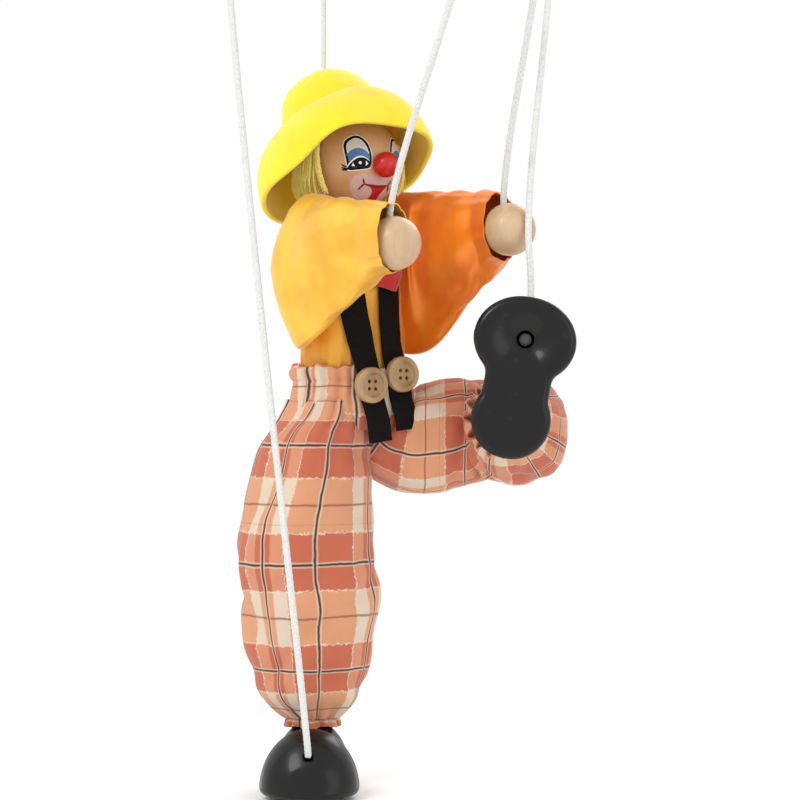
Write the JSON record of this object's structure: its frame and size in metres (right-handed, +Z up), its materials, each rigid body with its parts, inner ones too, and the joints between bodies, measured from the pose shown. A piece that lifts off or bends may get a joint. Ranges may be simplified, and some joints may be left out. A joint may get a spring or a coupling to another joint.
{
  "type": "marionette puppet",
  "caption": "Clown marionette with a wooden ball head, hands and shoes, felt hat, satin shirt and plaid trousers, on five strings under a wooden control.",
  "frame": {"origin": "middle of the control's main crossing", "axes": "+Z up, the puppet faces -Y, its left side is towards +X"},
  "size_m": [0.1787, 0.1738, 0.3471],
  "materials": {
    "control_wood": "satin",
    "steel": "satin",
    "string": "braided cotton",
    "inner_wood": "bare",
    "head_wood": "lacquered",
    "red_paint": "gloss paint",
    "hand_wood": "bare",
    "hat_felt": "felt",
    "hair": "synthetic hair",
    "satin": "satin",
    "tie_felt": "felt",
    "strap": "webbing",
    "button_wood": "satin",
    "plaid": "plaid cotton",
    "elastic": "covered",
    "shoe_paint": "gloss paint"
  },
  "bodies": {
    "control": {"control_main_bar": "control_wood", "control_leg_bar": "control_wood", "control_hand_bar": "control_wood", "control_screws": "steel", "control_knots": "string", "head_string": "string", "right_hand_string": "string", "left_hand_string": "string", "right_foot_string": "string", "left_foot_string": "string"},
    "torso": {"body_block": "inner_wood", "shoulder_yoke": "inner_wood", "shirt": "satin", "tie": "tie_felt", "right_suspender": "strap", "left_suspender": "strap", "right_button": "button_wood", "left_button": "button_wood", "pants_seat": "plaid", "waist_elastic": "elastic", "neck_pin": "steel", "right_hip_pin": "steel", "left_hip_pin": "steel"},
    "neck": {"neck_peg": "inner_wood"},
    "head": {"head_ball": "head_wood", "nose": "red_paint", "hat": "hat_felt", "hair": "hair"},
    "right_arm": {"right_arm": "inner_wood", "right_hand": "hand_wood", "right_sleeve": "satin"},
    "right_thigh": {"right_thigh": "inner_wood", "right_leg_upper": "plaid", "right_knee_pin": "steel"},
    "right_shin": {"right_shin": "inner_wood", "right_leg_lower": "plaid", "right_ankle_elastic": "elastic"},
    "right_foot": {"right_shoe": "shoe_paint", "right_foot_knot": "string", "right_ankle_pin": "steel"},
    "left_arm": {"left_arm": "inner_wood", "left_hand": "hand_wood", "left_sleeve": "satin"},
    "left_thigh": {"left_thigh": "inner_wood", "left_leg_upper": "plaid", "left_knee_pin": "steel"},
    "left_shin": {"left_shin": "inner_wood", "left_leg_lower": "plaid", "left_ankle_elastic": "elastic"},
    "left_foot": {"left_shoe": "shoe_paint", "left_foot_knot": "string", "left_ankle_pin": "steel"}
  },
  "joints": [
    {"name": "body_swing", "type": "hinge", "parent": "control", "child": "torso", "pos_m": [0, 0.0545, -0.004], "axis": [1, 0, 0], "range_deg": [-12, 12], "deforming": ["head_string", "right_hand_string", "left_hand_string", "right_foot_string", "left_foot_string"]},
    {"name": "neck_nod", "type": "hinge", "parent": "torso", "child": "neck", "pos_m": [0.0065, 0.0425, -0.11], "axis": [1, 0, 0], "range_deg": [-12, 12]},
    {"name": "head_turn", "type": "hinge", "parent": "neck", "child": "head", "pos_m": [0.0065, 0.0425, -0.11], "axis": [0, 0, 1], "range_deg": [-40, 40]},
    {"name": "right_arm_raise", "type": "hinge", "parent": "torso", "child": "right_arm", "pos_m": [-0.021, 0.0425, -0.124], "axis": [-1, 0, 0], "range_deg": [-60, 20], "deforming": ["right_sleeve"]},
    {"name": "left_arm_raise", "type": "hinge", "parent": "torso", "child": "left_arm", "pos_m": [0.034, 0.0425, -0.124], "axis": [-1, 0, 0], "range_deg": [-10, 25], "deforming": ["left_sleeve"]},
    {"name": "right_hip", "type": "hinge", "parent": "torso", "child": "right_thigh", "pos_m": [-0.007, 0.0425, -0.194], "axis": [-1, 0, 0], "range_deg": [-20, 60], "deforming": ["right_leg_upper", "pants_seat"]},
    {"name": "left_hip", "type": "hinge", "parent": "torso", "child": "left_thigh", "pos_m": [0.0205, 0.0425, -0.194], "axis": [-0.5447, -0.8386, 0], "range_deg": [-70, 10], "deforming": ["left_leg_upper"]},
    {"name": "right_knee", "type": "hinge", "parent": "right_thigh", "child": "right_shin", "pos_m": [-0.0135, 0.0455, -0.258], "axis": [1, 0, 0], "range_deg": [0, 80], "deforming": ["right_leg_lower"]},
    {"name": "left_knee", "type": "hinge", "parent": "left_thigh", "child": "left_shin", "pos_m": [0.07417, 0.00764, -0.192], "axis": [0, 0, 1], "range_deg": [0, 85], "deforming": ["left_leg_lower"]},
    {"name": "right_ankle", "type": "hinge", "parent": "right_shin", "child": "right_foot", "pos_m": [-0.0085, 0.0495, -0.3151], "axis": [-0.8386, 0.5447, 0], "range_deg": [-20, 20]},
    {"name": "left_ankle", "type": "hinge", "parent": "left_shin", "child": "left_foot", "pos_m": [0.0345, -0.0295, -0.1877], "axis": [-0.8258, 0.5364, 0.174], "range_deg": [-15, 20]}
  ]
}
